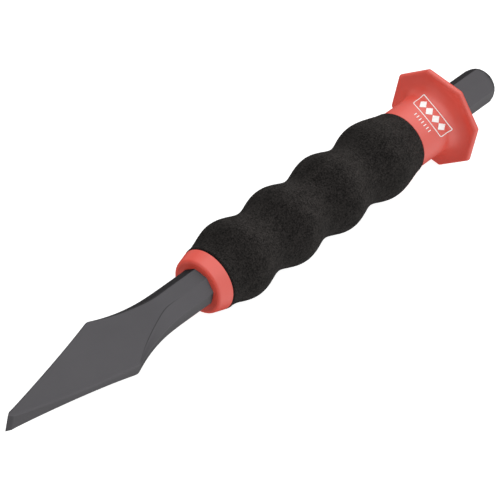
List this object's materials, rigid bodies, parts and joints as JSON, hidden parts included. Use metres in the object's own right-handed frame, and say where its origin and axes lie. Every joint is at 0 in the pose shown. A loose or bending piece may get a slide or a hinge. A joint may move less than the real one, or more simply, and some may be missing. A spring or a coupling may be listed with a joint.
{
  "type": "cold chisel with hand guard",
  "caption": "Octagonal bar chisel with a wide waisted blade, a narrow cross-set edge, an octagonal hand guard and a swelled foam grip held by a ring.",
  "frame": {"origin": "centre of the striking face", "axes": "+X from the striking face along the tool to the cutting edge, +Z square to the blade's broad faces, +Y across the blade"},
  "size_m": [0.3, 0.044, 0.044],
  "materials": {
    "dark_steel": "satin dark grey lacquer on forged steel",
    "red_plastic": "satin moulded plastic",
    "black_foam": "matt closed-cell foam"
  },
  "bodies": {
    "root": {"chisel_bar": "dark_steel", "hand_guard": "red_plastic", "foam_grip": "black_foam", "front_collar": "red_plastic"}
  },
  "joints": []
}
